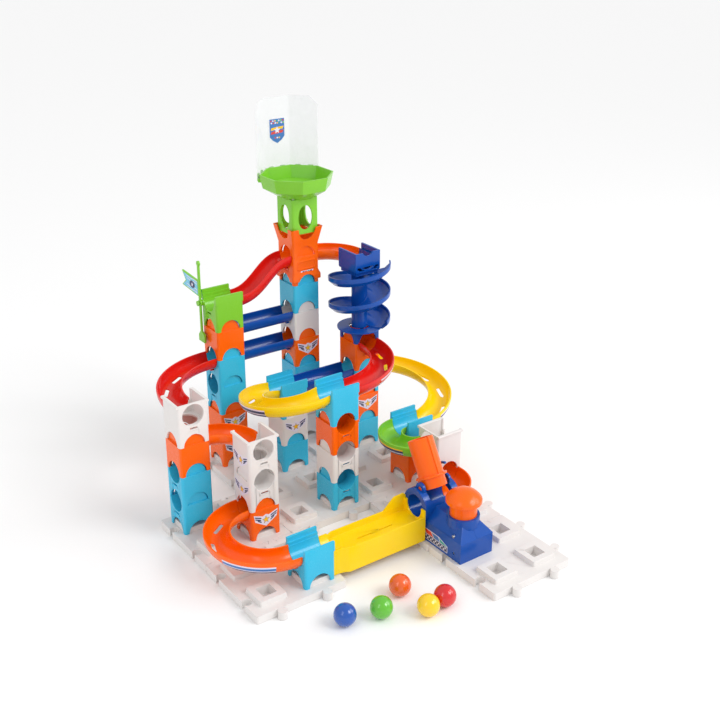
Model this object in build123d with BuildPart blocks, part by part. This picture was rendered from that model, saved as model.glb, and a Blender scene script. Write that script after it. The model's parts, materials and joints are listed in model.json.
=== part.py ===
"""Marble run: ten press-stacked towers on interlocking base plates, joined by trough tracks.

Millimetres, +Z up. Z = 0 is the table; the towers stand on plates PLATE_T thick. Tower places are
given in steps of PITCH, heights in steps of LEVEL. Marbles run down from the octagonal funnel to the
launcher, which throws them back up.
"""
import os
from math import cos, radians, sin, tan

from build123d import *

# ---- driving sizes -------------------------------------------------------------------------
BALL_D = 26.0            # marble diameter
BALL_PLAY = 1.2          # radial room round a marble in every hole and trough
BLOCK = 40.5             # outside width of a tower block
LEVEL = 40.0             # stacking height of one block
PITCH = 60.0             # spacing of the tower places
WALL = 2.2               # block wall
TRACK_WALL = 2.0         # trough wall
FIT = 0.3                # gap round a collar, a peg or a track end
PLATE_T = 10.0           # base plate thickness
PAD_H = 6.0              # height of the tower pads on a plate
EDGE_R = 3.0             # upright corner radius of a block
BUTTON_TRAVEL = 8.0      # stroke of the launch button
FLAG_SWING = 25.0        # degrees each way

# ---- sizes that follow ---------------------------------------------------------------------
HOLE_R = BALL_D / 2 + BALL_PLAY
TROUGH_R = HOLE_R + TRACK_WALL
INNER = BLOCK - 2 * WALL
COLLAR = INNER - 2 * FIT
SHAFT = COLLAR - 2 * WALL
DOME_R = HOLE_R - 0.8
FACE = BLOCK / 2
RAIL = 8.0               # how far holder and cradle walls rise over the shoulder
BOWL = 0.6               # how much wider the inner bowl is than the hole
RIM = 2.5                # how far a trough rises over its centre line
HOOK_LOW = TROUGH_R + 2.1
HOOK_HIGH = TROUGH_R + 0.3
HOOK_W = 9.4

os.makedirs("parts", exist_ok=True)
SIDES = {"E": 0, "N": 90, "W": 180, "S": 270}


def spot(i, j, level=0.0):
    """Foot centre of the block at tower place (i, j) and the given level."""
    return Location((i * PITCH, j * PITCH, PLATE_T + level * LEVEL))


def save(name, pieces):
    """Write one node: a single solid, or several separate ones."""
    shape = pieces[0] if len(pieces) == 1 else Compound(children=pieces)
    shape.label = name
    export_step(shape, "parts/" + name + ".step")


def square_tube(width, wall, low, high, corner=EDGE_R):
    """Upright square tube with rounded corners, added to the open part."""
    with BuildSketch(Plane.XY.offset(low)) as outline:
        RectangleRounded(width, width, corner)
        RectangleRounded(width - 2 * wall, width - 2 * wall, max(corner - wall, 0.6), mode=Mode.SUBTRACT)
    extrude(outline.sketch, amount=high - low)


def deck(low, high, opening):
    """Flat floor between the walls with a square opening, added to the open part."""
    with BuildSketch(Plane.XY.offset(low)) as outline:
        Rectangle(INNER + 0.4, INNER + 0.4)
        if opening:
            Rectangle(opening, opening, mode=Mode.SUBTRACT)
    extrude(outline.sketch, amount=high - low)


def arches():
    """Half-round arch at the foot of all four faces."""
    with BuildSketch(Plane.XZ.offset(-BLOCK)) as outline:
        Circle(HOLE_R)
    extrude(outline.sketch, amount=2 * BLOCK, mode=Mode.SUBTRACT)
    with BuildSketch(Plane.YZ.offset(-BLOCK)) as outline:
        Circle(HOLE_R)
    extrude(outline.sketch, amount=2 * BLOCK, mode=Mode.SUBTRACT)


def face_plane(side, height, distance):
    """Plane on a block face, x across the face, y up, normal pointing out."""
    a = radians(SIDES[side])
    out = (cos(a), sin(a), 0)
    across = (-sin(a), cos(a), 0)
    return Plane(origin=(distance * out[0], distance * out[1], height), x_dir=across, z_dir=out)


def domes(sides):
    """Half-round tabs of the collar, on the closed faces."""
    for side in sides:
        with BuildSketch(face_plane(side, LEVEL, COLLAR / 2 - WALL)) as outline:
            Circle(DOME_R)
            with Locations((0, -DOME_R / 2 - WALL)):
                Rectangle(3 * DOME_R, DOME_R, mode=Mode.SUBTRACT)
        extrude(outline.sketch, amount=WALL)


def open_faces(sides, top=LEVEL):
    """Channel of hole radius from the block's axis out through each named face."""
    for side in sides:
        with BuildSketch(face_plane(side, top, 2)) as outline:
            Circle(HOLE_R)
        extrude(outline.sketch, amount=BLOCK, mode=Mode.SUBTRACT)


def hook_slots(sides, top=LEVEL, deep=WALL + 0.1):
    """Slot for a track hook and the shallow recess under it."""
    for side in sides:
        with BuildSketch(face_plane(side, top, FACE - deep)) as outline:
            with Locations((0, -(HOOK_LOW + HOOK_HIGH) / 2)):
                Rectangle(HOOK_W + 2 * FIT, HOOK_LOW - HOOK_HIGH + 2 * FIT)
        extrude(outline.sketch, amount=deep + 1, mode=Mode.SUBTRACT)
        with BuildSketch(face_plane(side, top, FACE - 0.7)) as outline:
            with Locations((0, -HOOK_LOW - 5)):
                RectangleRounded(14, 6.4, 1)
        extrude(outline.sketch, amount=2, mode=Mode.SUBTRACT)


def clear_above(height):
    """Remove everything over the given height."""
    with BuildSketch(Plane.XY.offset(height)) as outline:
        Rectangle(2 * BLOCK, 2 * BLOCK)
    extrude(outline.sketch, amount=BLOCK, mode=Mode.SUBTRACT)


def tower_block(holes="", hump=False):
    """Plain block; each hole side gets a half-round cut at the shoulder and an inner scoop."""
    with BuildPart() as block:
        square_tube(BLOCK, WALL, 0, LEVEL)
        arches()
        if holes:
            deck(LEVEL - WALL, LEVEL, 0)
            with Locations((0, 0, LEVEL)):
                Sphere(TROUGH_R + BOWL)
            for side in holes:
                with BuildSketch(face_plane(side, LEVEL, 2)):
                    Circle(TROUGH_R)
                extrude(amount=INNER / 2 - 1.8)
            clear_above(LEVEL)
            with Locations((0, 0, LEVEL)):
                Sphere(HOLE_R + BOWL, mode=Mode.SUBTRACT)
            open_faces(holes)
            hook_slots(holes)
        else:
            deck(LEVEL - WALL, LEVEL, SHAFT)
        if hump:
            with BuildSketch(Plane.XZ.offset(-HOLE_R + 0.5)):
                with BuildLine():
                    Polyline((-9, LEVEL - 13.6), (0, LEVEL - 7), (9, LEVEL - 13.6), close=True)
                make_face()
            extrude(amount=2 * HOLE_R - 1)
        domes([s for s in "ENWS" if s not in holes])
    return block.part


def holder_block(height=LEVEL):
    """Top block with an open cradle along X that takes a track at either end."""
    with BuildPart() as block:
        square_tube(BLOCK, WALL, 0, height)
        if height == LEVEL:
            arches()
        deck(height - WALL, height, 0)
        with BuildSketch(Plane.YZ.offset(-FACE)):
            with Locations((0, height)):
                Circle(TROUGH_R)
        extrude(amount=BLOCK)
        clear_above(height)
        with BuildSketch(Plane.YZ.offset(-FACE)):
            for s in (-1, 1):
                with Locations((s * (FACE - 1.5), height + RAIL / 2)):
                    Rectangle(3.0, RAIL + 2 * WALL)
                with Locations((s * (FACE - 3.5), height + 1.0)):
                    Rectangle(3.0, 2.0 + 2 * WALL)
        extrude(amount=BLOCK)
        with BuildSketch(Plane.YZ.offset(-BLOCK)):
            with Locations((0, height)):
                Circle(HOLE_R)
        extrude(amount=2 * BLOCK, mode=Mode.SUBTRACT)
        hook_slots("EW", height)
    return block.part


def cradle_block():
    """Top block with tall rails: marble comes in on the open +Y side or the round -Y hole and drops."""
    top = LEVEL + HOLE_R + 1.2
    floor = LEVEL - HOLE_R - WALL
    with BuildPart() as block:
        square_tube(BLOCK, WALL, 0, top)
        arches()
        deck(floor, floor + WALL, 0)
        with BuildSketch(Plane.XY.offset(floor - 1)):
            Circle(HOLE_R)
        extrude(amount=LEVEL, mode=Mode.SUBTRACT)
        with BuildSketch(Plane.XZ.offset(-BLOCK)):
            with Locations((0, LEVEL)):
                Circle(HOLE_R)
        extrude(amount=2 * BLOCK, mode=Mode.SUBTRACT)
        with BuildSketch(face_plane("N", LEVEL, FACE - WALL - 1)):
            with Locations((0, HOLE_R)):
                Rectangle(2 * TROUGH_R + 1, 2 * HOLE_R)
        extrude(amount=WALL + 2, mode=Mode.SUBTRACT)
        for s in (-1, 1):
            with BuildSketch(Plane.XZ.offset(-FACE)):
                with Locations((s * (FACE - 0.5), top - 1.6)):
                    RectangleRounded(4.0, 3.2, 0.8)
            extrude(amount=BLOCK)
        hook_slots("NS")
    return block.part


def trough_sketch():
    """U-shaped trough section round the local origin."""
    with BuildSketch() as sketch:
        with BuildLine():
            a = Line((-TROUGH_R, 0), (-TROUGH_R, RIM))
            b = Line(a @ 1, (-HOLE_R, RIM))
            c = Line(b @ 1, (-HOLE_R, 0))
            d = ThreePointArc(c @ 1, (0, -HOLE_R), (HOLE_R, 0))
            e = Line(d @ 1, (HOLE_R, RIM))
            f = Line(e @ 1, (TROUGH_R, RIM))
            g = Line(f @ 1, (TROUGH_R, 0))
            ThreePointArc(g @ 1, (0, -TROUGH_R), (-TROUGH_R, 0))
        make_face()
    return sketch.sketch


def end_hook(plane):
    """Hook under a trough end. The plane sits on the end, its z out of the track, its y up."""
    with BuildSketch(plane.offset(-4)) as outline:
        with Locations((0, -(HOOK_LOW + TROUGH_R - 1.0) / 2)):
            Rectangle(HOOK_W, HOOK_LOW - TROUGH_R + 1.0)
    extrude(outline.sketch, amount=4)
    with BuildSketch(plane.offset(-2)) as outline:
        with Locations((0, -(HOOK_LOW + HOOK_HIGH) / 2)):
            Rectangle(HOOK_W, HOOK_LOW - HOOK_HIGH)
    extrude(outline.sketch, amount=2 + FIT + WALL + 1.0)


def arc_track(radius, span, climb=0.0, clockwise=False, slots=()):
    """Trough that turns by span degrees about the origin from +X, climbing as it goes."""
    with BuildPart() as track:
        if climb:
            with BuildLine() as path:
                Helix(pitch=climb * 360 / span, height=climb, radius=radius)
            with BuildSketch(Plane.XZ.offset(0)):
                with Locations((radius, 0)):
                    add(trough_sketch())
            sweep(path=path.line, is_frenet=True)
        else:
            with BuildSketch(Plane.XZ):
                with Locations((radius, 0)):
                    add(trough_sketch())
            revolve(axis=Axis.Z, revolution_arc=span)
        for angle, offset in slots:
            a = radians(angle)
            r = radius + offset
            z = climb * angle / span - HOLE_R - 2.5
            place = Plane(origin=(r * cos(a), r * sin(a), z), x_dir=(-sin(a), cos(a), 0), z_dir=(0, 0, 1))
            with BuildSketch(place):
                SlotOverall(min(22, radius * 0.55), 4.4)
            extrude(amount=8.5, mode=Mode.SUBTRACT)
        end_hook(Plane(origin=(radius, 0, 0), x_dir=(1, 0, 0), z_dir=(0, -1, 0)))
        e = radians(span)
        end = (radius * cos(e), radius * sin(e), climb)
        end_hook(Plane(origin=end, x_dir=(-cos(e), -sin(e), 0), z_dir=(-sin(e), cos(e), 0)))
    part = track.part
    return part.mirror(Plane.XZ) if clockwise else part


def straight_track(length, drop=0.0, slots=()):
    """Trough along +X from the origin, falling by drop in a gentle S."""
    with BuildPart() as track:
        with BuildLine() as path:
            if drop:
                Bezier((0, 0, 0), (length * 0.45, 0, 0), (length * 0.55, 0, -drop), (length, 0, -drop))
            else:
                Line((0, 0, 0), (length, 0, 0))
        with BuildSketch(Plane.YZ):
            add(trough_sketch())
        sweep(path=path.line)
        for along in slots:
            with BuildSketch(Plane.XY.offset(-HOLE_R - 4)):
                with Locations((length * along, 0)):
                    SlotOverall(18, 4.4)
            extrude(amount=8, mode=Mode.SUBTRACT)
        end_hook(Plane(origin=(0, 0, 0), x_dir=(0, -1, 0), z_dir=(-1, 0, 0)))
        end_hook(Plane(origin=(length, 0, -drop), x_dir=(0, 1, 0), z_dir=(1, 0, 0)))
    return track.part


# ---- blocks --------------------------------------------------------------------------------
plain = tower_block()
hole_w = tower_block("W")
hole_s = tower_block("S")
hole_e = tower_block("E")
hole_ew = tower_block("EW")
holder = holder_block()
cradle = cradle_block()

towers = {
    "tower1_lightblue": [(hole_w, -3, 1, 0), (hole_w, -3, 1, 1)],
    "tower1_orange": [(hole_e, -3, 1, 2)],
    "tower1_cradle": [(cradle, -3, 1, 3)],
    "tower2_orange": [(plain, -1, 3, 0), (plain, -1, 3, 1), (hole_e, -1, 3, 4)],
    "tower2_lightblue": [(hole_w, -1, 3, 2), (hole_ew, -1, 3, 3)],
    "tower3_white": [(plain, 1, 3, 0), (hole_w, 1, 3, 4)],
    "tower3_orange": [(plain, 1, 3, 1), (hole_w, 1, 3, 3)],
    "tower3_lightblue": [(plain, 1, 3, 2), (plain, 1, 3, 5)],
    "tower4_lightblue": [(plain, 0, 2, 0)],
    "tower4_white": [(plain, 0, 2, 1)],
    "tower4_holder": [(holder, 0, 2, 2)],
    "tower5_lightblue": [(hole_s, 0, 0, 0)],
    "tower5_white": [(hole_s, 0, 0, 1)],
    "tower5_orange": [(hole_s, 0, 0, 2)],
    "tower5_holder": [(holder, 0, 0, 3)],
    "tower6_lightblue": [(plain, 2, 2, 0), (hole_ew, 2, 2, 2)],
    "tower6_orange": [(plain, 2, 2, 1), (hole_s, 2, 2, 3)],
    "tower7_orange": [(hole_w, -2, 0, 0)],
    "tower7_white": [(hole_s, -2, 0, 1)],
    "tower7_cradle": [(cradle, -2, 0, 2)],
    "tower8_holder": [(holder, -2, -2, 0)],
    "tower9_orange": [(plain, 2, 0, 0)],
    "tower9_holder": [(holder, 2, 0, 1)],
    "tower10_orange": [(hole_s, 2, -1, 0)],
    "tower10_cradle": [(cradle.rotate(Axis.Z, -90), 2, -1, 1)],
}
for name, blocks in towers.items():
    save(name, [block.moved(spot(i, j, level)) for block, i, j, level in blocks])

# Splitter on tower 3: exits on both X sides, thicker flanks and a raised oval on the front.
SKIRT = BLOCK + 5.0
with BuildPart() as splitter:
    with BuildSketch(Plane.XY.offset(0.14 * LEVEL)):
        RectangleRounded(SKIRT, SKIRT, EDGE_R)
    with BuildSketch(Plane.XY.offset(0.3 * LEVEL)):
        RectangleRounded(SKIRT, SKIRT, EDGE_R)
    loft()
    with BuildSketch(Plane.XY.offset(0.3 * LEVEL)):
        RectangleRounded(SKIRT, SKIRT, EDGE_R)
    with BuildSketch(Plane.XY.offset(0.46 * LEVEL)):
        RectangleRounded(BLOCK, BLOCK, EDGE_R)
    loft()
    with BuildSketch(Plane.XY.offset(0.14 * LEVEL - 1)):
        RectangleRounded(INNER + 1, INNER + 1, 1)
    extrude(amount=LEVEL, mode=Mode.SUBTRACT)
    arches()
    add(tower_block("EW", hump=True))
    for s in (-1, 1):
        with BuildSketch(Plane.XZ.offset(s * FACE if s > 0 else -FACE)):
            with Locations((0, LEVEL * 0.7)):
                RectangleRounded(30, 13, 3)
                RectangleRounded(26, 9, 2, mode=Mode.SUBTRACT)
        extrude(amount=s * 0.9)
save("tower3_splitter", [splitter.part.moved(spot(1, 3, 6))])

# Crown on tower 3: flares outward under the funnel neck.
FLARE = BLOCK * 1.24
CROWN_SEAT = 8.0
with BuildPart() as crown:
    square_tube(BLOCK, WALL, 0, 0.4 * LEVEL)
    arches()
    with BuildSketch(Plane.XY.offset(0.4 * LEVEL)):
        RectangleRounded(BLOCK, BLOCK, EDGE_R)
    with BuildSketch(Plane.XY.offset(LEVEL)):
        RectangleRounded(FLARE, FLARE, EDGE_R)
    loft()
    with BuildSketch(Plane.XY.offset(0.4 * LEVEL)):
        RectangleRounded(INNER, INNER, 0.8)
    with BuildSketch(Plane.XY.offset(LEVEL)):
        RectangleRounded(FLARE - 2 * WALL, FLARE - 2 * WALL, 0.8)
    loft(mode=Mode.SUBTRACT)
    with BuildSketch(Plane.XY.offset(LEVEL - CROWN_SEAT - WALL)):
        Rectangle(FLARE - 2 * WALL - 2, FLARE - 2 * WALL - 2)
        Rectangle(SHAFT, SHAFT, mode=Mode.SUBTRACT)
    extrude(amount=WALL)
    for side in "ENWS":
        with BuildSketch(face_plane(side, LEVEL + 1, FACE - 3)):
            Ellipse(HOLE_R - 0.5, 0.42 * LEVEL)
        extrude(amount=BLOCK, mode=Mode.SUBTRACT)
save("tower3_crown", [crown.part.moved(spot(1, 3, 7))])

# Funnel: square neck with round windows, cone, octagonal rim band.
RIM_FLATS = 93.0
RIM_Z = 1.78 * LEVEL
BAND_Z = 1.32 * LEVEL
NECK_Z = 1.0 * LEVEL
CORNER = 1 / cos(radians(22.5))


def octagon(flats, height):
    """Octagon with flats on the X and Y sides, at the given height."""
    with BuildSketch(Plane.XY.offset(height)) as sketch:
        RegularPolygon(flats / 2 * CORNER, 8, rotation=22.5)
    return sketch.sketch


with BuildPart() as funnel:
    square_tube(BLOCK, WALL, -CROWN_SEAT, NECK_Z + 0.5)
    with BuildSketch(Plane.XZ.offset(-BLOCK)):
        with Locations((0, NECK_Z * 0.36)):
            Ellipse(HOLE_R - 3.2, 0.42 * LEVEL)
    extrude(amount=2 * BLOCK, mode=Mode.SUBTRACT)
    with BuildSketch(Plane.YZ.offset(-BLOCK)):
        with Locations((0, NECK_Z * 0.36)):
            Ellipse(HOLE_R - 3.2, 0.42 * LEVEL)
    extrude(amount=2 * BLOCK, mode=Mode.SUBTRACT)
    loft([octagon(BLOCK + 1, NECK_Z - 1), octagon(RIM_FLATS - 8, BAND_Z)])
    loft([octagon(RIM_FLATS - 8, BAND_Z), octagon(RIM_FLATS, RIM_Z)])
    loft([octagon(SHAFT, NECK_Z - 1.1), octagon(RIM_FLATS - 8 - 2 * WALL, BAND_Z + 1.2)], mode=Mode.SUBTRACT)
    loft([octagon(RIM_FLATS - 8 - 2 * WALL, BAND_Z + 1.1), octagon(RIM_FLATS - 2 * WALL, RIM_Z + 0.1)],
         mode=Mode.SUBTRACT)
    for angle in (45, 90, 135):
        a = radians(angle)
        back = Plane(origin=((RIM_FLATS / 2) * cos(a), (RIM_FLATS / 2) * sin(a), RIM_Z - 9),
                     x_dir=(-sin(a), cos(a), 0), z_dir=(cos(a), sin(a), 0))
        with BuildSketch(back.offset(-2)):
            with Locations((-9, 0), (9, 0)):
                Rectangle(7, 6)
        extrude(amount=5.6)
        with BuildSketch(back.offset(2.8)):
            with Locations((-9, 4), (9, 4)):
                Rectangle(7, 10)
        extrude(amount=1.6)
save("tower3_funnel", [funnel.part.moved(spot(1, 3, 8))])

# Shield: three folded panels in the clips behind the rim.
SHIELD_T = 1.8
SHIELD_H = 95.0


def rim_point(angle, distance):
    """Point on an octagon corner direction, its flats at the given distance from the axis."""
    a = radians(angle)
    return (distance * CORNER * cos(a), distance * CORNER * sin(a))


SHIELD_IN = RIM_FLATS / 2 + 0.6
inner_line = [rim_point(a, SHIELD_IN) for a in (22.5, 67.5, 112.5, 157.5)]
outer_line = [rim_point(a, SHIELD_IN + SHIELD_T) for a in (157.5, 112.5, 67.5, 22.5)]
with BuildPart() as shield:
    with BuildSketch(Plane.XY.offset(RIM_Z - 5.6)):
        with BuildLine():
            Polyline(*inner_line, *outer_line, close=True)
        make_face()
    extrude(amount=SHIELD_H + 5.6)
    for s in (-1, 1):
        a = radians(90 + s * 45)
        far = SHIELD_IN * tan(radians(22.5))
        panel = Plane(origin=(SHIELD_IN * cos(a), SHIELD_IN * sin(a), RIM_Z + SHIELD_H),
                      x_dir=(-s * sin(a), s * cos(a), 0), z_dir=(s * cos(a), s * sin(a), 0))
        with BuildSketch(panel.offset(-10)):
            with BuildLine():
                Polyline((far - 13, 2), (far + 6, 2), (far + 6, -17), close=True)
            make_face()
        extrude(amount=20, both=True, mode=Mode.SUBTRACT)
save("funnel_shield", [shield.part.moved(spot(1, 3, 8))])

# Spiral on tower 6: skirt, column, two turns of dished ramp, open holder on top.
RAMP_R = 43.0
RAMP_PITCH = 38.0
RAMP_LOW = 0.42 * LEVEL
RAMP_RISE = 2.1 * RAMP_PITCH
TOP_Z = 3 * LEVEL
with BuildPart() as ramp:
    with BuildLine() as helix:
        Helix(pitch=RAMP_PITCH, height=RAMP_RISE, radius=27)
    with BuildSketch(Plane(origin=(0, 0, 0), x_dir=(1, 0, 0), z_dir=(0, -1, 0))):
        with BuildLine():
            Polyline((9.5, 1), (24, -1.5), (RAMP_R - 8, 0.5), (RAMP_R - 1.8, 6), (RAMP_R - 1.8, 11),
                     (RAMP_R, 11), (RAMP_R, 5), (RAMP_R - 7, -1.6), (24, -3.6), (9.5, -1.4), close=True)
        make_face()
    sweep(path=helix.line, is_frenet=True)
with BuildPart() as spiral:
    square_tube(BLOCK, WALL, 0, 0.46 * LEVEL)
    arches()
    with BuildSketch(Plane.XY.offset(0.46 * LEVEL - WALL)):
        Circle(RAMP_R - 12)
        Circle(HOLE_R, mode=Mode.SUBTRACT)
    extrude(amount=WALL)
    add(ramp.part.rotate(Axis.Z, -62).moved(Location((0, 0, RAMP_LOW + 4))))
    with BuildSketch(Plane.XY.offset(0.46 * LEVEL - 1)):
        Circle(11)
        Circle(8.4, mode=Mode.SUBTRACT)
    extrude(amount=TOP_Z - TROUGH_R - 0.46 * LEVEL + 1.5)
    with BuildSketch(Plane.XY.offset(TOP_Z - TROUGH_R - 6)):
        Rectangle(INNER, INNER)
        Rectangle(INNER - 8, INNER - 8, mode=Mode.SUBTRACT)
        Rectangle(INNER, 5)
        Rectangle(5, INNER)
    extrude(amount=7)
    with BuildSketch(Plane.XZ.offset(-FACE)):
        with Locations((0, TOP_Z)):
            add(trough_sketch())
        for s in (-1, 1):
            with Locations((s * (FACE - 1.5), TOP_Z - 3)):
                Rectangle(3.0, 26)
            with Locations((s * (FACE - 3.2), TOP_Z - TROUGH_R + 1.4)):
                Rectangle(5.0, 3)
        with Locations((0, TOP_Z - TROUGH_R - 0.2)):
            Rectangle(BLOCK - 2, 2.4)
    extrude(amount=BLOCK)
    with BuildSketch(Plane.XZ.offset(FACE - WALL)):
        with Locations((0, TOP_Z)):
            Rectangle(BLOCK - 4, 20)
            with Locations((0, 14)):
                Circle(9, mode=Mode.SUBTRACT)
    extrude(amount=WALL)
    with BuildSketch(Plane.XY.offset(TOP_Z - TROUGH_R - 8)):
        with Locations((6, -10)):
            Rectangle(18, 13)
    extrude(amount=12, mode=Mode.SUBTRACT)
    hook_slots("N", TOP_Z, 6.0)
save("tower6_spiral", [spiral.part.moved(spot(2, 2, 4))])

# Flag holder on tower 2: a holder with a pivot pin on its -X face.
FLAG_Y = FACE - 4.5
FLAG_Z = LEVEL - 7.0
PIN_R = 2.0
with BuildPart() as flag_holder:
    add(holder_block())
    with BuildSketch(Plane.YZ.offset(-FACE - 7.5)):
        with Locations((FLAG_Y, FLAG_Z)):
            Circle(PIN_R)
    extrude(amount=8.5)
    with BuildSketch(Plane.YZ.offset(-FACE - 8.6)):
        with Locations((FLAG_Y, FLAG_Z)):
            Circle(PIN_R + 1.6)
    extrude(amount=1.2)
    with BuildSketch(Plane.YZ.offset(-FACE - 2)):
        with Locations((FLAG_Y, FLAG_Z)):
            Circle(PIN_R + 2.2)
    extrude(amount=2.4)
save("tower2_flag_holder", [flag_holder.part.moved(spot(-1, 3, 5))])

# Flag: one plate in the YZ plane: pole with a round top, swallow-tail flag, paddle below.
FLAG_T = 2.6
with BuildPart() as flag:
    with BuildSketch(Plane.YZ.offset(-FACE - 2.3 - FLAG_T - 0.6)):
        with BuildLine():
            Polyline((FLAG_Y - 1.9, FLAG_Z + 53), (FLAG_Y - 1.9, FLAG_Z - 40), (FLAG_Y - 9, FLAG_Z - 44),
                     (FLAG_Y - 9, FLAG_Z - 55), (FLAG_Y + 7, FLAG_Z - 55), (FLAG_Y + 7, FLAG_Z - 46),
                     (FLAG_Y + 1.9, FLAG_Z - 40), (FLAG_Y + 1.9, FLAG_Z + 9), (FLAG_Y + 48, FLAG_Z + 13),
                     (FLAG_Y + 37, FLAG_Z + 22), (FLAG_Y + 47, FLAG_Z + 34), (FLAG_Y + 1.9, FLAG_Z + 31),
                     (FLAG_Y + 1.9, FLAG_Z + 53), close=True)
        make_face()
        with Locations((FLAG_Y, FLAG_Z)):
            Circle(PIN_R + 2.4)
        with Locations((FLAG_Y, FLAG_Z + 55)):
            Circle(3.6)
        with Locations((FLAG_Y, FLAG_Z)):
            Circle(PIN_R + FIT, mode=Mode.SUBTRACT)
    extrude(amount=FLAG_T)
save("flag", [flag.part.moved(spot(-1, 3, 5))])

# ---- tracks --------------------------------------------------------------------------------
GAP = FIT
SPAN1 = 2 * PITCH - BLOCK - 2 * GAP          # straight between towers two places apart
NEAR_R = PITCH - FACE                        # quarter turn between neighbours on a diagonal
FAR_R = 2 * PITCH - FACE                     # the same, two places apart


def height(level):
    """Trough centre height at the shoulder of the given level count."""
    return PLATE_T + level * LEVEL


def turned(part, angle, x, y, z):
    """The part turned about Z, then moved."""
    return part.rotate(Axis.Z, angle).moved(Location((x, y, z)))


slide = straight_track(SPAN1, drop=LEVEL, slots=(0.13, 0.87))
save("track_red_slide", [turned(slide, 180, PITCH - FACE - GAP, 3 * PITCH, height(7))])
bridge = straight_track(SPAN1, slots=(0.25, 0.75))
save("track_blue_bridges", [turned(bridge, 0, -PITCH + FACE + GAP, 3 * PITCH, height(level)) for level in (4, 5)])
save("track_blue_link", [turned(bridge, 0, FACE + GAP, 2 * PITCH, height(3))])

quarter_near = arc_track(NEAR_R - GAP, 90, slots=((25, 4), (65, 4)))
quarter_far = arc_track(FAR_R - GAP, 90, slots=((13, 5), (34, 5), (56, 5), (77, 5)))
save("track_orange_top_bend", [turned(quarter_near, 0, PITCH + FACE + GAP, 2 * PITCH + FACE + GAP, height(7))])
save("track_red_left_bend", [turned(quarter_far, 90, -PITCH - FACE - GAP, PITCH + FACE + GAP, height(4))])
save("track_orange_left_bend", [turned(quarter_near, 0, -3 * PITCH + FACE + GAP, FACE + GAP, height(3))])
save("track_red_right_bend", [turned(quarter_far, 270, FACE + GAP, 2 * PITCH - FACE - GAP, height(4))])

half_flat = arc_track(PITCH, 180, slots=((36, 5), (72, 5), (108, 5), (144, 5)))
save("track_orange_return", [turned(half_flat, 90, -2 * PITCH - FACE - GAP, -PITCH, height(1))])
half_climb = arc_track(PITCH, 180, climb=LEVEL, slots=((36, 5), (72, 5), (108, 5), (144, 5)))
half_climb_cw = arc_track(PITCH, 180, climb=LEVEL, clockwise=True, slots=((36, 5), (72, 5), (108, 5), (144, 5)))
save("track_yellow_left_bend", [turned(half_climb, 90, -FACE - GAP, PITCH, height(3))])
save("track_yellow_right_bend", [turned(half_climb, -90, 2 * PITCH + FACE + GAP, PITCH, height(2))])
half_small = arc_track(PITCH / 2, 180, slots=((65, 3), (115, 3)))
save("track_green_bend", [turned(half_small, 90, 2 * PITCH - FACE - GAP, -PITCH / 2, height(2))])

# ---- launcher (local origin: plate top under the intake) -------------------------------------
L_HALF = 25.0            # half width of the body
L_END = 27.0             # intake rings stand out to here on both sides
L_FRONT = -84.0
L_BACK = 20.6
L_SIDE = 27.0            # straight side height, then the roof chamfer
L_ROOF = 44.0
SHELL = 2.4
RING_R = 22.0
BUTTON_Y = -PITCH + 2
BUTTON_R = 16.5
PIVOT_Y = -2.0
PIVOT_Z = LEVEL + 22.0
TUBE_TILT = 60.0         # launch tube above the horizontal
TUBE_L = 58.0
LEVER_Y = -30.0
LEVER_Z = 18.5
STEM_LOW = LEVER_Z + 1.8
SEAT_Z = 26.0
launch = spot(1, -2)


def roof_profile(inset):
    """Body section in XZ, moved in by inset."""
    half = L_HALF - inset
    roof = L_ROOF - inset
    with BuildSketch(Plane.XZ) as sketch:
        with BuildLine():
            Polyline((-half, 0), (half, 0), (half, L_SIDE), (half - 13, roof), (-half + 13, roof),
                     (-half, L_SIDE), close=True)
        make_face()
    return sketch.sketch


tube_dir = (0, cos(radians(TUBE_TILT)), sin(radians(TUBE_TILT)))
tube_plane = Plane(origin=(0, PIVOT_Y, PIVOT_Z), x_dir=(1, 0, 0), z_dir=tube_dir)

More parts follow.
